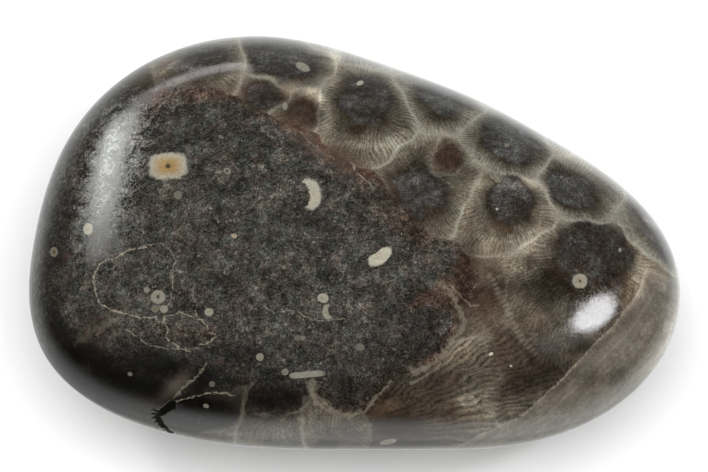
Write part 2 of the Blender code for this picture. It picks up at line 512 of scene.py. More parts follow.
# Soft changes of tone over the stone: x, y, reach along and across, turn, then how much lighter
# in stops, how much redder and how much smoother the stone is there. The ones marked below paint
# light into the colour: painted shade and dark reflection low on the left and along the left rim,
# and a painted rim reflection at the lower right.
tonePatches = {
    "redBandTop": (215, 93, 75, 10, -4, 0.25, 0.6, 0), "redBandLeft": (150, 112, 26, 9, -50, 0.0, 0.6, 0),
    "redBandMiddle": (322, 148, 60, 13, 33, 0.95, 0.5, 0.45),
    "redBandRight": (400, 225, 55, 10, 42, -0.2, 0.5, 0), "redEdge": (464, 270, 12, 36, 10, -0.8, 0.9, 0.2),
    "lobeEdge": (425, 298, 24, 8, -25, -0.1, 0.9, 0), "redUnder": (350, 163, 32, 11, 38, -0.35, 0.7, 0.4),
    "redGap": (440, 352, 8, 30, 35, -0.4, 0.6, 0), "lobeMiddle": (425, 330, 26, 24, 0, -0.5, 0, 0),
    # lowDark, lowDarkLeft and lowDarkRight (this line and the next) are painted shade and dark reflection on
    # the lower front.
    "lowDark": (158, 375, 80, 25, 14, -2.3, 0.1, 0.55), "lowDarkLeft": (92, 366, 34, 15, 30, -1.7, 0.1, 0.5),
    "lowDarkRight": (275, 400, 36, 13, 0, -2.5, 0.1, 0.55),
    "lowLeftStreaks": (95, 334, 27, 13, -48, -0.55, 0.5, 0.4),
    # lowerLeftRim is painted shade and dark reflection along the lower left rim.
    "lowerLeftRim": (60, 335, 14, 34, -25, -1.8, 0, 0.6),
    "bottomLeftCell": (205, 412, 40, 16, 3, -2.3, 0, 0.8),
    "brownFlank": (177, 384, 24, 9, -42, 2.9, 0.15, 0.5), "lowMatrix": (245, 376, 76, 13, 5, -1.25, 0, 0.1),
    "lowMatrixRight": (342, 390, 34, 16, 0, -1.3, 0.15, 0.2),
    # leftRim on the next line is painted shade and dark reflection along the left rim.
    "leftRim": (56, 245, 16, 70, 8, -1.0, 0.1, 0.4), "lowRight": (400, 350, 50, 30, -20, -0.3, 0.1, 0.1),
    "brownPatch": (530, 261, 5, 8, 0, -1.2, 0.5, 0), "darkPatch": (522, 284, 20, 10, 0, -1.1, 0.1, 0),
    "orange": (484, 312, 15, 22, 0, 0.6, 0.6, 0.2), "darkBrown": (547, 371, 40, 20, -38, -1.4, 0.45, 0),
    "innerLowTop": (488, 262, 16, 24, 0, 0.35, 0.25, 0.2), "fanPale": (467, 401, 22, 10, -10, 0.8, 0, 0),
    "fanBrown": (434, 382, 26, 12, -30, -0.5, 0.3, 0), "fanEnd": (403, 428, 24, 12, 0, -1.0, 0, 0.9),
    "lowerBrown": (524, 382, 36, 13, -28, -0.5, 0.4, 0), "wedge": (453, 291, 10, 6, 60, 1.2, -0.2, 0.2),
    "upperLeftTop": (360, 71, 34, 8, 3, 0.15, 0, 0), "upperLeftLow": (372, 142, 28, 10, 10, 1.0, 0, 0),
    "upperLeftRight": (398, 112, 9, 18, -20, -0.2, 0.1, 0), "palePatch": (314, 96, 11, 8, 20, 1.9, 0, 0.3),
    "palePatch2": (328, 118, 6, 18, 0, 0.8, 0, 0.3), "palePatch3": (289, 91, 9, 8, 0, 0.9, 0.1, 0.4),
    "topLeftPale": (168, 65, 18, 11, -25, 2.3, 0, 0.4), "topWallPale": (243, 68, 6, 24, -8, 0.1, 0, 0.2),
    "brownCell": (303, 119, 16, 12, 0, -0.2, 0.9, 0), "darkCell": (266, 94, 18, 10, 0, -0.8, 0.2, 0),
    "largeLeft": (537, 250, 16, 16, 0, 0.9, 0, 0), "largeRight": (634, 286, 11, 30, 15, 2.0, 0, 0),
    "largeLow": (560, 330, 26, 16, -20, -0.3, 0.2, 0), "largeUnder": (583, 345, 10, 8, 0, -1.4, 0, 0.4),
    "middleTop": (512, 184, 26, 5.5, 0, 1.5, 0, 0), "middleLow": (500, 235, 30, 12, 0, 0.8, -0.1, 0),
    # flankRim on the next line is a painted rim reflection: a lighter band along the lower right rim.
    "innerRed": (447, 160, 16, 12, -40, -0.1, 0.5, 0.1), "flankRim": (671, 350, 17, 60, 25, 1.35, 0, 0.3),
    "flankBrown": (632, 312, 8, 20, 25, -0.75, 0.3, 0), "flankDark": (588, 378, 9, 12, 40, -0.8, 0.2, 0),
    "flankPurple": (617, 376, 14, 10, -30, -0.9, 0.1, 0),
    "flankStreak": (594, 403, 12, 8, -40, -0.3, 0.1, 0),
    "rimPurple": (652, 240, 12, 34, -30, 0.3, 0.15, 0.3),
    # lowLeftUnder and leftUnder are painted shade and dark reflection low down on the left.
    "lowLeftUnder": (118, 402, 62, 13, 24, -1.9, 0, 0.9), "leftUnder": (62, 372, 22, 14, 45, -1.7, 0, 0.8),
    "orangeFan": (431, 140, 16, 11, 0, 0.4, 0.15, 0.2), "fanHollow": (512, 354, 20, 22, 0, -0.25, 0.35, 0),
    # The last patch on the next line, low on the left, is painted shade and dark reflection.
    "flankLow": (540, 425, 60, 14, -25, -0.35, 0, 0), "lowPaintedShade": (140, 390, 36, 12, 14, -1.4, 0, 0.8),
    "largeDark": (546, 290, 24, 18, -15, -1.2, 0.2, 0), "largeOlive": (531, 327, 14, 16, 20, 0.2, 0.1, 0),
    "backPale": (335, 56, 9, 14, 20, 1.3, 0, 0.2), "middleWall": (505, 173, 24, 3.5, 5, -0.3, 0, 0),
    "upperRightHeart": (514, 146, 20, 14, 28, 0.35, 0, 0), "darkLow": (238, 350, 52, 14, 5, -0.8, 0, 0),
    "loopBrown": (190, 335, 24, 14, 0, -0.3, 0.45, 0), "redSpot": (220, 363, 4, 3, 0, 0.6, 1, 0.3),
    "redSpotLeft": (66, 256, 4, 5, 0, 0.3, 1, 0.3), "lobeRed": (440, 300, 6, 26, 10, -0.2, 0.8, 0),
    "interLobe": (468, 346, 14, 26, 40, 0.45, -0.1, 0), "lobeLow": (394, 376, 32, 11, -28, -1.1, 0.3, 0),
    "fanStart": (386, 408, 18, 7, -20, 0.8, -0.4, 0), "fanPaleLow": (485, 404, 13, 16, 0, 0.55, 0, 0),
    "lowerPale": (510, 406, 36, 9, -22, 0.9, -0.2, 0.1),
    "rimBackRight": (586, 166, 42, 12, 33, 0.95, 0, 0.5), "innerRight": (459, 200, 8, 18, -20, 0.35, 0, 0),
    "rimStreak": (648, 221, 3, 12, -50, 1.8, 0, 0.8), "rimPale": (655, 276, 16, 7, 30, 0.8, 0, 0.4),
}
# Where the walls between the cells fade: the same ovals, then how much.
calmPatches = {
    "edgeBrown": (300, 112, 34, 20, 15, 0.75), "smallBrown": (447, 160, 28, 22, 0, 0.9),
    "inner": (497, 295, 14, 48, 0, 0.95), "fanSide": (492, 380, 20, 52, 0, 1.0),
    "largeLow": (540, 350, 56, 16, 42, 0.95), "bottomMiddle": (373, 426, 22, 34, 0, 1.0),
    "bottomLeft": (243, 410, 16, 26, 0, 0.6), "bottom": (300, 428, 12, 26, 0, 0.7),
    "leftTop": (146, 78, 26, 32, 0, 1.0), "redUnder": (345, 164, 36, 12, 32, 0.85),
    "fanTop": (468, 322, 38, 18, -30, 0.95), "fanTopRight": (486, 328, 20, 16, 0, 1.0),
}


def layTones():
    tones, calm = np.zeros((len(sheet), 3)), np.zeros(len(sheet))
    seen = fading("tones")
    for patch in tonePatches.values():
        u, v = ovalPlaces(patch[:5], sheet)
        weight = np.exp(-(u**2 + v**2)**1.5) * seen
        tones += weight[:, None] * np.array(patch[5:])
    for *oval, amount in calmPatches.values():
        u, v = ovalPlaces(oval, sheet)
        calm = np.maximum(calm, amount * np.exp(-(u**2 + v**2)**2) * seen)
    keep("tone", tones, "POINT")
    keep("calm", calm, "POINT")


layTones()
print("ground and tones laid")

# Whole shell and crinoid grains, on the sheet: x, y, reach along and across, turn; then the hole's
# share, how far off a bite is taken (9 is none), how warm the grain is, and how bright.
shellGrains = {
    "crinoid": (168, 166, 19.5, 13.5, -2, 0.17, 9.7, 1.05, 0.9),
    "small1": (178, 195, 4.5, 4.5, 0, 0, 9, 0.1, 0.35),
    "crescent": (309.5, 194, 16.5, 12, 262, 0, 0.8, 0.15, 0.9),
    "halfMoon": (380, 256.5, 14, 7.5, -34, 0, 1.5, 0.15, 1.02),
    "ring1": (158, 297, 7.5, 7, 0, 0.26, 9, 0.1, 0.55), "ring1a": (147, 290, 3.2, 3, 0, 0, 9, 0.1, 0.45),
    "ring1b": (155, 309, 4, 3.6, 0, 0, 9, 0.5, 0.35), "ring1c": (164, 309, 4.2, 4, 0, 0, 9, 0.1, 0.55),
    "dot1": (209, 312, 4.4, 4.2, 0, 0, 9, 0.1, 0.6), "dot2": (323, 298, 5.6, 5, 20, 0, 9, 0.1, 0.75),
    "hook": (328, 312, 8, 6, 80, 0, 0.9, 0.1, 0.6), "rod": (307, 374.5, 17.5, 3.2, -5, 0, 11, 0, 0.5),
    "rodEnd": (285, 372, 3.6, 3.6, 0, 0, 9, 0, 0.4), "pale1": (88, 229, 5, 6, 0, 0, 9, 0.3, 0.8),
    "olive": (54, 252, 4, 5, 0, 0.3, 9, 0.8, 0.4), "dot3": (260, 357, 4, 4, 0, 0, 9, 0.1, 0.5),
    "dot4": (360, 347, 4.5, 4, 0, 0, 9, 0, 0.3), "grainTop": (303, 67, 7.5, 4, 28, 0, 9, 0, 0.6),
    "grainUpper": (360, 83, 4, 2.2, -20, 0, 9, 0, 0.9), "grainEdge": (285, 106, 2.5, 4, 0, 0, 9, 0, 0.5),
    "grainRing": (580, 281, 7.6, 7.2, 0, 0.2, 9.2, 0.3, 0.68),
    "grainRight": (620, 250, 1.6, 2.4, 0, 0, 9, 0, 0.6),
    "grainMiddle": (497, 209, 1.2, 1.2, 0, 0, 9, 0, 0.9),
    "grainUpperRight": (507, 145, 2.6, 2, 0, 0, 9, 0, 0.4),
    "grainLow": (388, 442, 9, 2.6, -10, 0, 9, 0, 0.5), "glint1": (491, 354, 2.4, 1.6, -30, 0, 9, 0, 1.2),
    "glint2": (511, 366, 1.6, 1.2, 30, 0, 9, 0, 0.8), "dot5": (297, 338, 3, 3, 0, 0, 9, 0.1, 0.3),
    "dot6": (234, 236, 3, 2.2, 20, 0, 9, 0.6, 0.7), "dot7": (130, 374, 2.6, 2, 20, 0, 9, 0, 0.3),
    "dot8": (206, 406, 3, 2.2, 20, 0, 9, 0.1, 0.35), "dot9": (212, 384, 3.2, 3, 0, 0, 9, 0.1, 0.25),
    "fleck1": (227, 171, 4, 3, 40, 0.5, 9, 0, 0.5), "fleck2": (221, 137, 3, 2, 30, 0, 9, 0.1, 0.3),
    "fleck3": (303, 338, 2.5, 2.5, 0, 0, 9, 0, 0.35), "fleck4": (348, 305, 2.4, 2, 0, 0, 9, 0, 0.35),
}
# A few more, over the side that is out of the eye's reach: their sizes and how far apart, in mm.
scatteredGrains = {"count": 46, "seed": 31, "size": (0.25, 0.75), "apart": 4.5}


def backGrains():
    dice = np.random.default_rng(scatteredGrains["seed"])
    hidden = np.nonzero(facing < overEdge["grains"])[0]
    low, high = scatteredGrains["size"]
    grains = []
    while len(grains) < scatteredGrains["count"]:
        number = hidden[dice.integers(len(hidden))]
        place, way = stonePlaces[number], stoneNormals[number]
        size = low + (high - low) * dice.random()**2
        shape = (size, size * (0.6 + 0.4 * dice.random()), 0.3 * (dice.random() < 0.3), 9,
                 0.5 * dice.random(), 0.3 + 0.5 * dice.random())
        if all(np.linalg.norm(place - other[0]) > scatteredGrains["apart"] for other in grains):
            grains.append((place, way, shape))
    return grains


def layGrains():
    grains, hiddenGrains = list(shellGrains.values()), backGrains()
    behind = hiddenAway("grains")
    seen = [(np.hypot(*ovalPlaces(grain[:5], centreSheet)) - 1) * min(grain[2:4]) * unit + behind
            for grain in grains]
    centre = faceMean(stonePlaces)
    unseen = [np.linalg.norm(centre - place, axis=1) - shape[0] for place, _, shape in hiddenGrains]
    grainOf = nearestOf(seen + unseen, 6)
    values, kinds = everywhere(9, 9, 0), everywhere(0, 9, 0)
    for number, grain in enumerate(grains):
        mine = grainOf == number
        values[mine] = columns(*ovalPlaces(grain[:5], sheet[corners[mine]]), grain[8])
        kinds[mine] = grain[5:8]
    for number, (place, way, shape) in enumerate(hiddenGrains, len(grains)):
        mine = grainOf == number
        side, across = sideways(way, [0.3, 0.5, 0.81])
        offset = stonePlaces[corners[mine]] - place
        values[mine] = columns(offset @ side / shape[0], offset @ across / shape[1], shape[5])
        kinds[mine] = shape[2:5]
    keep("grain", values)
    keep("grainKind", kinds)


layGrains()

# Pale veins and thin light walls, on the sheet, each with its half width in mm, its strength out
# of 9 and its path; then dark scratches, and painted shade in the grooves of the crevice's comb.
paleLines = {
    "loop": (0.065, 9, [(147, 247), (137, 248), (126, 251), (115, 259), (107, 260), (99, 264), (93, 279),
                        (96, 292), (99, 303), (110, 310), (129, 314), (142, 318), (154, 317), (158, 322),
                        (164, 322), (165, 317), (169, 316)]),
    "loopTop": (0.04, 7, [(142, 246), (160, 243), (170, 250), (176, 262), (171, 272), (173, 279), (172, 290),
                          (171, 299), (166, 308)]),
    "branch": (0.055, 9, [(165, 322), (168, 331), (165, 336), (171, 342), (181, 349), (190, 351)]),
    "branchRight": (0.055, 9, [(195, 310), (197, 317), (207, 324), (208, 331), (216, 336), (211, 342),
                               (200, 345)]),
    "middle": (0.04, 7, [(264, 306), (275, 313), (285, 311), (296, 311), (308, 318), (325, 321),
                         (345, 318)]),
    "hair": (0.04, 6, [(127, 330), (138, 337), (148, 345), (170, 349), (200, 348)]),
    "join": (0.045, 9, [(169, 316), (180, 312), (195, 318), (205, 322)]),
    "lobeRight": (0.34, 4, [(443, 283), (450, 291), (458, 306), (463, 318), (464, 328), (452, 342),
                            (443, 354), (433, 364), (412, 372)]),
    "lobeOuter": (0.10, 4, [(462, 338), (452, 350), (443, 358), (436, 370), (424, 377), (410, 384)]),
    "notch": (0.07, 4, [(450, 284), (462, 298), (472, 306), (480, 304)]),
    "bottomEdge": (0.12, 4, [(320, 398), (333, 413), (351, 416), (365, 411), (378, 395), (391, 382)]),
    "innerLine": (0.04, 3, [(436, 175), (446, 182), (455, 189)]),
    "innerLine2": (0.03, 3, [(424, 158), (438, 150), (452, 141), (462, 133)]),
    "leftInner": (0.04, 9, [(351, 161), (356, 171), (364, 179), (376, 190)]),
    "leftEdge": (0.03, 5, [(300, 132), (310, 142), (322, 152), (336, 160)]),
    "lowWall": (0.11, 4, [(174, 398), (183, 388), (197, 376), (206, 364)]),
    "lowThin": (0.05, 7, [(176, 401), (186, 399), (196, 396), (213, 393), (224, 393), (236, 396)]),
    "lowDivide": (0.15, 2, [(252, 383), (245, 394), (243, 408), (241, 420)]),
    "lowSplit": (0.10, 2, [(241, 424), (230, 429), (215, 432), (200, 434)]),
    "flare": (0.34, 4, [(313, 383), (312, 394), (315, 402), (324, 408)]),
    "flareDown": (0.24, 3, [(324, 408), (336, 413), (350, 416)]),
    "flareLeft": (0.10, 3, [(310, 402), (300, 411), (287, 415)]),
    "zigzag": (0.20, 4, [(300, 418), (303, 424), (300, 429), (305, 434), (302, 439), (306, 446)]),
    "flankEdge": (0.06, 7, flank["line"][:11]),
    "rimJoin": (0.07, 6, [(645, 269), (653, 272), (660, 276), (666, 290)]),
    "rimLeft": (0.08, 5, [(622, 205), (628, 222), (636, 240), (645, 268)]),
    "streak1": (0.28, 2, [(120, 316), (110, 322), (102, 328), (97, 333)]),
    "streak2": (0.24, 1, [(104, 323), (95, 330), (85, 338), (77, 343)]),
    "streak3": (0.20, 1, [(124, 326), (118, 333), (109, 338)]),
}
darkLines = {
    # comb1 to comb6 are painted shade: dark lines laid along the comb's grooves.
    "comb1": (0.07, 9, [(158, 411), (153, 408.5), (149, 408)]),
    "comb2": (0.07, 9, [(157, 413), (152, 412), (148, 412.5)]),
    "comb3": (0.07, 9, [(156, 415.5), (151, 416), (147.5, 417)]),
    "comb4": (0.07, 9, [(156, 418), (152, 419.5), (149, 421.5)]),
    "comb5": (0.06, 9, [(157.5, 421), (154, 423.5), (152, 425.5)]),
    "comb6": (0.06, 9, [(160, 424), (157, 427), (155, 429)]),
    "scratch": (0.05, 9, [(303, 240), (316, 262), (332, 286)]),
    "scratch2": (0.03, 8, [(297, 250), (312, 262)]), "scratch3": (0.04, 8, [(318, 268), (322, 282)]),
}
# Walls where the teeth of two cells lock together like beads: half width and reach of the teeth in
# mm, how pale, and the path.
beadedWalls = {
    "largeLow": (0.34, 1.8, 0.50, [(490, 276), (497, 289), (501, 299), (507, 309), (512, 320), (517, 330),
                                   (522, 339), (528, 346), (536, 354), (543, 361), (554, 363), (562, 362)]),
    "fanSide": (0.9, 2.1, 0.16, [(470, 312), (478, 322), (484, 334), (489, 346), (492, 358), (494, 372),
                                 (493, 386), (492, 400), (488, 414)]),
    "largeTop": (0.15, 2.4, 0.0, [(508, 262), (520, 268), (532, 268), (545, 262)]),
}
beadSpacing = 0.56
lineReach = {"lines": 12, "beads": 26}  # how far off a line is looked for, on the sheet


def nearestStretch(pieces, reach):
    behind = hiddenAway("lines")
    distances = (awayFrom(centreSheet, first, second)[0] + behind for first, second, *_ in pieces)
    return nearestOf(distances, reach)


def layLines(name, lines):
    pieces = [(first, second, width + 10 * strength) for width, strength, path in lines.values()
              for first, second in zip(path, path[1:])]
    pieceOf = nearestStretch(pieces, lineReach["lines"])
    values = everywhere(9, 9, 0.1)
    for number, (first, second, code) in enumerate(pieces):
        mine = pieceOf == number
        aside, past, _ = segmentPlaces(sheet[corners[mine]], first, second)
        values[mine] = columns(aside * unit, past * unit, code)
    keep(name, values)


def layBeads():
    pieces = []
    for *kind, path in beadedWalls.values():
        start = 0.0
        for first, second in zip(path, path[1:]):
            pieces.append((first, second, start, kind))
            start += math.dist(first, second) * unit
    pieceOf = nearestStretch(pieces, lineReach["beads"])
    values, kinds = everywhere(9, 0, 0), everywhere(0.2, 1, 0)
    for number, (first, second, start, kind) in enumerate(pieces):
        mine = pieceOf == number
        away, along = awayFrom(sheet[corners[mine]], first, second)
        values[mine] = columns(away * unit, start + along * math.dist(first, second) * unit, 1)
        kinds[mine] = kind
    keep("beadLine", values)
    keep("beadKind", kinds)


layBeads()
layLines("paleLine", paleLines)
layLines("darkLine", darkLines)
keep("pit", stoneDepth, "POINT")
print("grains and veins laid")


class Wire:
    # One output of a node. Adding, multiplying and so on puts the Math or Vector Math node for it.
    def __init__(self, socket):
        self.socket = socket
        self.tree = socket.id_data
        self.isNumber = socket.type == "VALUE"

    def work(self, operation, *values):
        kind = "Math" if self.isNumber else "VectorMath"
        node = put(self.tree, kind, dict(enumerate(values)), operation=operation)
        return Wire(node.outputs["Value" if operation == "LENGTH" else 0])

    def __add__(self, other):
        return self.work("ADD", self, other)

    def __sub__(self, other):
        return self.work("SUBTRACT", self, other)

    def __rsub__(self, other):
        return self.work("SUBTRACT", other, self)

    def __mul__(self, other):
        if self.isNumber:
            return self.work("MULTIPLY", self, other)
        return scaled(self.tree, self, other)

    def __truediv__(self, other):
        return self.work("DIVIDE", self, other)

    def __rtruediv__(self, other):
        return self.work("DIVIDE", other, self)

    def __pow__(self, other):
        return self.work("POWER", self, other)

    def __rpow__(self, other):
        return self.work("POWER", other, self)

    def __abs__(self):
        return self.work("ABSOLUTE", self)


def feed(node, inputs):
    for name, value in inputs.items():
        if isinstance(value, Wire):
            node.id_data.links.new(value.socket, node.inputs[name])
        else:
            node.inputs[name].default_value = value


def put(tree, kind, inputs=None, **settings):
    node = tree.nodes.new("ShaderNode" + kind)
    for name, value in settings.items():
        setattr(node, name, value)
    feed(node, inputs or {})
    return node


def scaled(tree, vector, gain):
    return Wire(put(tree, "VectorMath", {0: vector, "Scale": gain}, operation="SCALE").outputs[0])


def larger(first, second):
    return first.work("MAXIMUM", first, second)


def smaller(first, second):
    return first.work("MINIMUM", first, second)


def cosine(angle):
    return angle.work("COSINE", angle)


def remainder(value, step):
    return value.work("FLOORED_MODULO", value, step)


def length(vector):
    return vector.work("LENGTH", vector)


def join(x, y, z=0.0):
    return Wire(put(x.tree, "CombineXYZ", {0: x, 1: y, 2: z}).outputs[0])


def split(vector):
    return [Wire(socket) for socket in put(vector.tree, "SeparateXYZ", {0: vector}).outputs]


def ease(value, low, high, toLow=0.0, toHigh=1.0):
    # Softly from toLow to toHigh as the value goes from low to high.
    inputs = {"Value": value, "From Min": low, "From Max": high, "To Min": toLow, "To Max": toHigh}
    return Wire(put(value.tree, "MapRange", inputs, interpolation_type="SMOOTHSTEP").outputs["Result"])


def mixNumbers(share, first, second):
    return Wire(put(share.tree, "Mix", {0: share, 2: first, 3: second}, data_type="FLOAT").outputs[0])


def noise(place, scale, detail=2.0, roughness=0.5, output="Fac"):
    inputs = {"Vector": place, "Scale": scale, "Detail": detail, "Roughness": roughness}
    return Wire(put(place.tree, "TexNoise", inputs).outputs[output])


def attribute(tree, name, output="Vector"):
    return Wire(put(tree, "Attribute", attribute_name=name).outputs[output])


def makeGroup(name, vectors, numbers, outputs):
    group = bpy.data.node_groups.new(name, "ShaderNodeTree")
    sockets = [(label, "INPUT", "Vector") for label in vectors]
    sockets += [(label, "INPUT", "Float") for label in numbers]
    sockets += [(label, "OUTPUT", "Float") for label in outputs]
    for label, side, kind in sockets:
        group.interface.new_socket(name=label, in_out=side, socket_type="NodeSocket" + kind)
    given = {socket.name: Wire(socket) for socket in group.nodes.new("NodeGroupInput").outputs if socket.name}
    return group, given, group.nodes.new("NodeGroupOutput")


def useGroup(tree, group, inputs):
    node = put(tree, "Group", inputs, node_tree=group)
    return {socket.name: Wire(socket) for socket in node.outputs}


def speckleGroup():
    # Uneven tone at three sizes, as a gain about 1, with a few pale grains and a drifting hue.
    group, given, out = makeGroup("stoneSpeckle", ["Place"], ["Fine", "Blotch"], ["Gain", "Fleck", "Hue"])
    place = given["Place"]
    fine = noise(place, 4.6, 3, 0.75) - 0.5
    middle = noise(place + (7, 3, 1), 1.5, 4, 0.68) - 0.5
    broad = noise(place + (2, 9, 4), 0.42, 3, 0.6) - 0.5
    total = (middle * 4.1 + broad * 3.2) * given["Blotch"] + fine * 5.8 * given["Fine"]
    shaken = place + noise(place, 1.7, output="Color") * 0.5
    grains = put(group, "TexVoronoi", {"Vector": shaken, "Scale": 2.3}).outputs
    chance = split(Wire(grains["Color"]))
    speck = ease(Wire(grains["Distance"]) / (chance[1] * 0.30 + 0.12), 1.3, 0.7) * ease(chance[0], 0.80, 0.97)
    crowd = ease(noise(place + (1, 6, 2), 0.5, 3, 0.6), 0.42, 0.62, 0.25, 1.6)
    hue = noise(place + (4, 1, 6), 0.6, 5, 0.68)
    feed(out, {"Gain": math.e ** total, "Fleck": speck * crowd, "Hue": hue})
    return group


def coralGroup():
    # Rays from a heart out to the cell's wall. Reach holds the distances to the three nearest cells.
    group, given, out = makeGroup("coralCell", ["Reach", "From heart", "Place"], [],
                                  ["Wall", "Rays", "Heart", "Growth"])
    place = given["Place"]
    a, b, c = split(given["Reach"])
    first, last = smaller(smaller(a, b), c), larger(larger(a, b), c)
    gap = a + b + c - first - last - first  # from the nearest cell's distance to the second's
    u, v, mark = split(given["From heart"])
    flat = join(u, v)
    outward = length(flat)
    size = remainder(mark, 10.0)
    way = split(flat.work("NORMALIZE", flat) * 11.5)
    around = join(way[0], way[1], outward * 0.8 + mark)
    # The rays fork as they spread, so that they stay about 0.45 mm apart.
    sway = (noise(around, 0.9, 3, 0.65) - 0.5) * 3.4
    angle, away = v.work("ARCTAN2", v, u), outward * size
    forks = ((42, 1), (84, 1.6), (168, 2.4))  # how many rays, and how much they sway
    inner, middle, outer = (cosine(angle * count + sway * swing) for count, swing in forks)
    wave = mixNumbers(ease(away, 3.0, 4.0), inner, middle)
    wave = mixNumbers(ease(away, 6.6, 8.6), wave, outer)
    ray = wave * ease(noise(around, 2.2, 3, 0.65), 0.30, 0.62, 0.3, 1)
    ragged = noise(place, 2.0, 4, 0.68) - 0.5
    broad = noise(place + (5, 1, 8), 0.6, 3, 0.6) - 0.5
    past = larger((outward - 0.92) * size, 0)
    growth = ray * 0.07 + past / (past + 0.02 + larger(gap, 0)) + ragged * 0.30
    wall = ease(ray * -0.06 + gap + ragged * 0.30, 0.36, 0.0) * ease(broad, -0.22, 0.0, 0.4, 1)
    corner = ease(last - first + ragged, 1.5, 0.1)
    heart = ease(outward + broad * 1.1 + ragged * 0.5 + ray * 0.06, 1.2, 0.74)
    feed(out, {"Wall": larger(wall, corner * 0.6), "Rays": ray, "Heart": heart, "Growth": growth})
    return group


def lineGroup():
    # A fine wavering line. Line holds how far off it is to the side, how far past its end, and its half
    # width plus ten times its strength.
    group, given, out = makeGroup("fineLine", ["Line", "Place"], [], ["Mask"])
    place = given["Place"]
    aside, past, code = split(given["Line"])
    width = remainder(code, 10.0)
    waver = (noise(place, 1.7, 4, 0.75) - 0.5) * 0.9
    swell = width * ease(noise(place, 1.3, 3, 0.65), 0.36, 0.64, 0.4, 1.8)
    mask = 1 - ease(length(join(aside + waver, past)) / swell, 0.3, 1.9)
    broken = ease(noise(place + (3, 8, 2), 2.6, 3, 0.7), 0.32, 0.56, 0.5, 1)
    feed(out, {"Mask": mask * broken * ((code - width) * (1 / 90))})
    return group


def beadGroup():
    # A row of pale beads along a wall, with fine teeth reaching out to both sides of it.
    group, given, out = makeGroup("beadedWall", ["Line", "Kind", "Place"], [], ["Mask", "Teeth"])
    place = given["Place"]
    away, along, shown = split(given["Line"])
    width, teeth, pale = split(given["Kind"])
    waver = noise(place, 1.3, 4, 0.7) - 0.5
    away = abs(waver * 0.8 + away)
    fade = ease(noise(place + (6, 2, 9), 0.9, 3, 0.65), 0.36, 0.6, 0.25, 1)
    beat = cosine(along * (math.tau / beadSpacing) + waver * 6.5) * fade
    bead = ease(away / width, 1.7, 0.2) * ease(beat, -0.5, 0.7, 0.3, 1)
    feed(out, {"Mask": bead * pale, "Teeth": ease(away / teeth, 1.0, 0.1) * beat * shown})
    return group


def grainGroup():
    # A shell grain: a disc with a hole at its middle, or with a bite out of one side.
    group, given, out = makeGroup("shellGrain", ["Spot", "Kind", "Place"], [],
                                  ["Mask", "Hole", "Inner", "Warm", "Bright"])
    place = given["Place"]
    u, v, bright = split(given["Spot"])
    hole, bite, warm = split(given["Kind"])
    power = larger(bite * 2.0 - 16.0, 2.0)  # a bite of 9 is none, and above 9 it squares the outline
    square = (abs(u) ** power + abs(v) ** power) ** (1 / power)
    uneven = noise(place, 3.2, 3, 0.6) - 0.5
    ragged = uneven * 0.42 + (noise(place, 1.3, 3, 0.55) - 0.5) * 0.30
    kept = ease(length(join(u, v + bite)) + ragged, 0.78, 0.92)
    holeMask = ease(length(join(u * 1.4, v)) + ragged * 0.3 - hole, 0.10, -0.06)
    feed(out, {"Mask": ease(square + ragged, 1.08, 0.84) * kept, "Hole": holeMask, "Inner": square,
               "Warm": warm, "Bright": bright * (uneven * 0.9 + 1.0)})
    return group


# The stone's colours, and how glossy its two kinds of surface are.
stoneFinish = {
    "groundGreen": (0.0355, 0.0352, 0.0305), "groundBrown": (0.0385, 0.0320, 0.0265),
    "groundLight": (0.170, 0.163, 0.142), "redStone": (0.0470, 0.0290, 0.0205),
    "tissueDark": (0.0200, 0.0138, 0.0088), "tissueMiddle": (0.058, 0.050, 0.037),
    "tissuePale": (0.150, 0.143, 0.114), "tissueWarm": (0.150, 0.122, 0.086),
    "tissueBrown": (0.050, 0.030, 0.018), "flankDark": (0.083, 0.068, 0.050),
    "flankPale": (0.165, 0.148, 0.120), "wallPale": (0.275, 0.256, 0.208),
    "heartGrey": (0.0490, 0.0500, 0.0480), "heartBrown": (0.0215, 0.0160, 0.0125),
    "black": (0.0060, 0.0055, 0.0035), "shellPale": (0.35, 0.33, 0.265), "shellWarm": (0.31, 0.205, 0.085),
    "veinPale": (0.260, 0.228, 0.172), "coralGloss": 0.05, "groundGloss": 0.055, "ior": 1.54,
}


def blend(share, first, second):
    # Mixes two colours. Each is a wire or the name of one of the stone's colours.
    inputs = {0: share}
    for number, colour in ((6, first), (7, second)):
        inputs[number] = colour if isinstance(colour, Wire) else (*stoneFinish[colour], 1)
    return Wire(put(share.tree, "Mix", inputs, data_type="RGBA").outputs[2])


def stoneBase(tree):
    # What every part of the finish reads: places in mm, speckle at two strengths, slow drifts of tone
    # and the tone patches.
    place = Wire(put(tree, "TexCoord").outputs["Object"]) * 1000.0
    speckle = speckleGroup()
    lightness, redness, smooth = split(attribute(tree, "tone"))
    return {"place": place, "clouds": noise(place, 0.16, 3, 0.55),
            "drift": noise(place + (9, 40, 5), 0.42, 4, 0.62),
            "sand": useGroup(tree, speckle, {"Place": place, "Fine": 1.0, "Blotch": 1.0}),
            "dust": useGroup(tree, speckle, {"Place": place + (31, 7, 3), "Fine": 0.5, "Blotch": 0.42}),
            "lightness": lightness, "redness": redness, "smooth": smooth, "plain": 1 - smooth}


def heartColour(base, warmth):
    sand = base["sand"]
    tone = blend((base["drift"] - 0.5) * 2.0 + warmth, "heartGrey", "heartBrown")
    return blend(sand["Fleck"] * 0.2, tone * ((sand["Gain"] - 1) * 0.85 + 1), "groundLight")


def flankColour(base, away):
    # Fine streaks that run with the rim.
    streakPlace = join(away * 1.9, base["drift"] * 1.6, base["clouds"] * 2.0)
    streak = noise(streakPlace, 1.0, 4, 0.65) * 0.5 + base["drift"] * 0.5
    tone = blend(ease(streak, 0.30, 0.72), "flankDark", "flankPale")
    return tone * ((base["dust"]["Gain"] - 1) * 0.5 + 1)


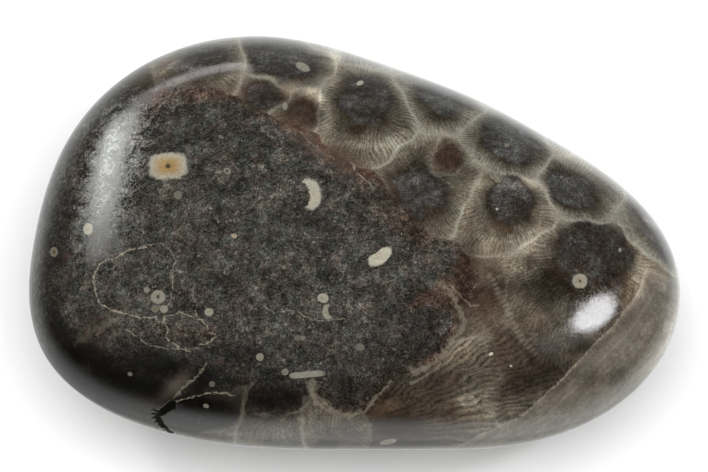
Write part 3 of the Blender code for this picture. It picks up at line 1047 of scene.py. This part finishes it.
def coralColour(tree, base):
    # A dark heart, a dark brown ring round it, paler towards the wall, with rays over it.
    place, dust, plain = base["place"], base["dust"], base["plain"]
    coral = useGroup(tree, coralGroup(), {"Reach": attribute(tree, "cellReach"),
                                          "From heart": attribute(tree, "septum"), "Place": place})
    depth, paleness, warmth = split(attribute(tree, "cellFinish"))
    rayStrength = split(attribute(tree, "cellTouch"))[0]
    calm = attribute(tree, "calm", "Fac")
    pale = coral["Growth"] * (paleness + 0.25) * (calm * -0.5 + 1) + (base["drift"] - 0.5) * 0.7
    outer = blend((dust["Hue"] - 0.5) * 3.0 + warmth, "tissuePale", "tissueWarm")
    tissue = blend(ease(pale, 0.02, 0.42), "tissueDark", "tissueMiddle")
    tissue = blend(ease(pale, 0.30, 0.98), tissue, outer)
    tissue = blend(warmth * ease(base["clouds"], 0.6, 0.36) * 0.5, tissue, "tissueBrown")
    rayGain = coral["Rays"] * rayStrength * (ease(coral["Growth"], 0.1, 0.75) * 0.19 + 0.05)
    tissue = tissue * ((rayGain + dust["Gain"] - 1) * plain + 1)
    tissue = blend(coral["Heart"] * depth, tissue, heartColour(base, warmth))

    flankAway = attribute(tree, "flank", "Fac")
    flankShare = ease(flankAway, -0.1, 0.2)
    tissue = blend(flankShare, tissue, flankColour(base, flankAway))
    wallShare = coral["Wall"] * (1 - flankShare) * (paleness * 0.8 + 0.2) * plain * (1 - calm)
    tissue = blend(wallShare * 0.85, tissue, "wallPale")
    beads = useGroup(tree, beadGroup(), {"Line": attribute(tree, "beadLine"),
                                         "Kind": attribute(tree, "beadKind"), "Place": place})
    tissue = blend(beads["Mask"] * 0.7, tissue * (beads["Teeth"] * 0.20 + 1), "veinPale")
    stained = scaled(tree, stoneFinish["redStone"], dust["Gain"] * 1.25)
    return blend(smaller(base["redness"], 1) * 0.65, tissue, stained)


def sandColour(base, groundAway):
    # Dark shell sand, redder at its edge.
    sand, dust = base["sand"], base["dust"]
    tone = blend(ease(sand["Hue"], 0.42, 0.60), "groundGreen", "groundBrown")
    edgeRed = ease(groundAway, 1.5, 0.1)
    redShare = base["redness"] + (edgeRed * 0.5 + ease(dust["Hue"], 0.60, 0.74, 0, 0.45))
    tone = blend(smaller(redShare, 1) * ease(base["drift"], 0.3, 0.55, 0.45, 1), tone, "redStone")
    tone = tone * ((sand["Gain"] - 1) * (base["smooth"] * -0.8 + 1) + 1)
    return blend(sand["Fleck"] * 0.55 * base["plain"], tone, "groundLight")


def addMarks(tree, base, colour):
    # Veins, scratches, painted shade in the comb's grooves, and shell grains.
    place, drift = base["place"], base["drift"]
    lines = lineGroup()
    for name, strength, tone in (("paleLine", 0.85, "veinPale"), ("darkLine", 0.8, "black")):
        mask = useGroup(tree, lines, {"Line": attribute(tree, name), "Place": place})["Mask"]
        colour = blend(mask * strength, colour, tone)
    shell = useGroup(tree, grainGroup(), {"Spot": attribute(tree, "grain"),
                                          "Kind": attribute(tree, "grainKind"), "Place": place})
    tone = blend(shell["Warm"] * ease(shell["Inner"], 1.0, 0.2), "shellPale", "shellWarm")
    tone = tone * (shell["Bright"] * (drift * 0.5 + 0.75))
    return blend(shell["Mask"] * 0.93, colour, blend(shell["Hole"] * 0.85, tone, "heartBrown"))


def polishedFossil():
    material = bpy.data.materials.new("polishedFossilLimestone")
    material.use_nodes = True
    tree = material.node_tree
    base = stoneBase(tree)
    groundAway = attribute(tree, "ground", "Fac") + (noise(base["place"], 0.8, 5, 0.65) - 0.5) * 1.1
    groundShare = ease(groundAway, -0.12, 0.12)
    colour = blend(groundShare, coralColour(tree, base), sandColour(base, groundAway))
    # The tone patches' lightness, which includes painted shade and painted reflection, scales the colour
    # here.
    colour = addMarks(tree, base, colour * 2.0 ** base["lightness"])
    pit = attribute(tree, "pit", "Fac")
    # Painted shade: the crevice is painted nearly black towards its depth.
    colour = blend(ease(pit, 0.01, 0.16, 0, 0.95), colour, "black")

    # The coral takes a higher polish than the sandy ground.
    gloss = mixNumbers(groundShare, stoneFinish["coralGloss"], stoneFinish["groundGloss"])
    gloss = gloss + (base["dust"]["Gain"] - 1) * 0.06 + ease(pit, 0.01, 0.14) * 0.9
    relief = base["sand"]["Gain"] * (groundShare * 0.7 + 0.3)
    bump = put(tree, "Bump", {"Height": relief, "Strength": 0.14, "Distance": 0.00002})
    feed(tree.nodes["Principled BSDF"], {"Base Color": colour, "Roughness": gloss, "IOR": stoneFinish["ior"],
                                         "Normal": Wire(bump.outputs["Normal"])})
    return material


stone.data.materials.append(polishedFossil())
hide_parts("fossil_coral_stone")
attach(stone, "root")
print("stone finished")

# Soft studio light: a tall box behind the left shoulder, an oval one to the right, a strip behind,
# and a broad overhead fill that leaves no reflection. Places and sizes are in metres.
studio = {
    "leftBox": {"shape": "RECTANGLE", "centre": (-0.511, 0.554, 0.284), "along": (-0.256, -0.729, 0.640),
                "size": (0.38, 0.105), "power": 0.86, "mirrored": True, "tint": (0.97, 1, 0.98)},
    "leftTail": {"shape": "RECTANGLE", "centre": (-0.539, 0.480, 0.346), "along": (-0.256, -0.729, 0.640),
                 "size": (0.54, 0.105), "power": 0.91, "mirrored": True, "tint": (0.97, 1, 0.98)},
    "rightOval": {"shape": "ELLIPSE", "centre": (0.558, -0.040, 0.572), "along": (0.466, 0.802, -0.373),
                  "size": (0.26, 0.14), "power": 1.4, "mirrored": True, "tint": (0.97, 0.98, 1)},
    "rightVeil": {"shape": "ELLIPSE", "centre": (0.48, -0.19, 0.612), "along": (0.466, 0.802, -0.373),
                  "size": (0.32, 0.15), "power": 0.07, "mirrored": True, "tint": (0.97, 0.98, 1)},
    "backStrip": {"shape": "RECTANGLE", "centre": (-0.27, 0.738, 0.15), "along": (0.935, 0.342, 0.0),
                  "size": (0.30, 0.07), "power": 0.2, "mirrored": True, "tint": (1, 0.96, 0.97)},
    "overhead": {"shape": "RECTANGLE", "centre": (-0.05, -0.35, 1.2), "along": (1, 0, 0),
                 "size": (2.4, 2.4), "power": 41, "mirrored": False, "tint": (1, 1, 1)},
}
# The room is dark above and glows a little low down at the back, more to the right. What the stone
# mirrors below the horizon is a pale table, dimmer to the left and straight below.
room = {"dark": 0.012, "glow": 0.43, "glowHeight": 0.16, "glowSides": (0.16, 2.0), "tableDim": 1.0,
        "tableBright": 1.9, "tableEdge": (0.12, -0.36), "belowShare": 0.5, "tint": (0.95, 0.98, 0.97)}
floorFinish = {"size": 4.0, "tone": 0.90, "roughness": 0.9}


def makeLamp(name, kind):
    lamp = bpy.data.lights.new(name, "AREA")
    lamp.shape, lamp.energy, lamp.color = kind["shape"], kind["power"], kind["tint"]
    lamp.size, lamp.size_y = kind["size"]
    light = bpy.data.objects.new(name, lamp)
    bpy.context.scene.collection.objects.link(light)
    light.location = kind["centre"]
    out = Vector(kind["centre"]).normalized()
    along = Vector(kind["along"])
    along = (along - out * out.dot(along)).normalized()
    light.rotation_mode = "QUATERNION"
    light.rotation_quaternion = Matrix((along, out.cross(along), out)).transposed().to_quaternion()
    light.visible_glossy = kind["mirrored"]


def makeRoom():
    world = bpy.data.worlds.new("studioWorld")
    world.use_nodes = True
    tree = world.node_tree
    across, back, up = split(Wire(put(tree, "TexCoord").outputs["Generated"]))
    low = math.e ** (larger(up, 0) * -1 / room["glowHeight"])
    glow = low * ease(back, -0.1, 0.5, 0, room["glow"]) * ease(across, -0.7, 0.9, *room["glowSides"])
    height = ease(back, 0.1, -0.5) * -0.07 + (up + 0.07)
    side = back * -0.2 + across * 0.8
    table = ease(height, *room["tableEdge"]) * ease(up, -0.93, -0.7, room["belowShare"], 1)
    table = table * ease(side, -0.5, 0.4, room["tableDim"], room["tableBright"])
    total = glow * ease(up, -0.15, 0.0) + (table + room["dark"])
    feed(tree.nodes["Background"], {"Color": (*room["tint"], 1), "Strength": total})
    bpy.context.scene.world = world


def makeFloor():
    bm = bmesh.new()
    bmesh.ops.create_grid(bm, x_segments=1, y_segments=1, size=floorFinish["size"] / 2)
    mesh = bpy.data.meshes.new("studioFloor")
    bm.to_mesh(mesh)
    bm.free()
    floor = bpy.data.objects.new("studioFloor", mesh)
    bpy.context.scene.collection.objects.link(floor)
    material = bpy.data.materials.new("palePaper")
    material.use_nodes = True
    tone = floorFinish["tone"]
    feed(material.node_tree.nodes["Principled BSDF"], {
        "Base Color": (tone, tone, tone, 1), "Roughness": floorFinish["roughness"], "Specular IOR Level": 0})
    mesh.materials.append(material)
    floor.visible_glossy = False  # the stone mirrors the room's own table tone


for name, kind in studio.items():
    makeLamp(name, kind)
makeRoom()
makeFloor()
bpy.context.scene.view_settings.view_transform = "Standard"
print("studio lit")
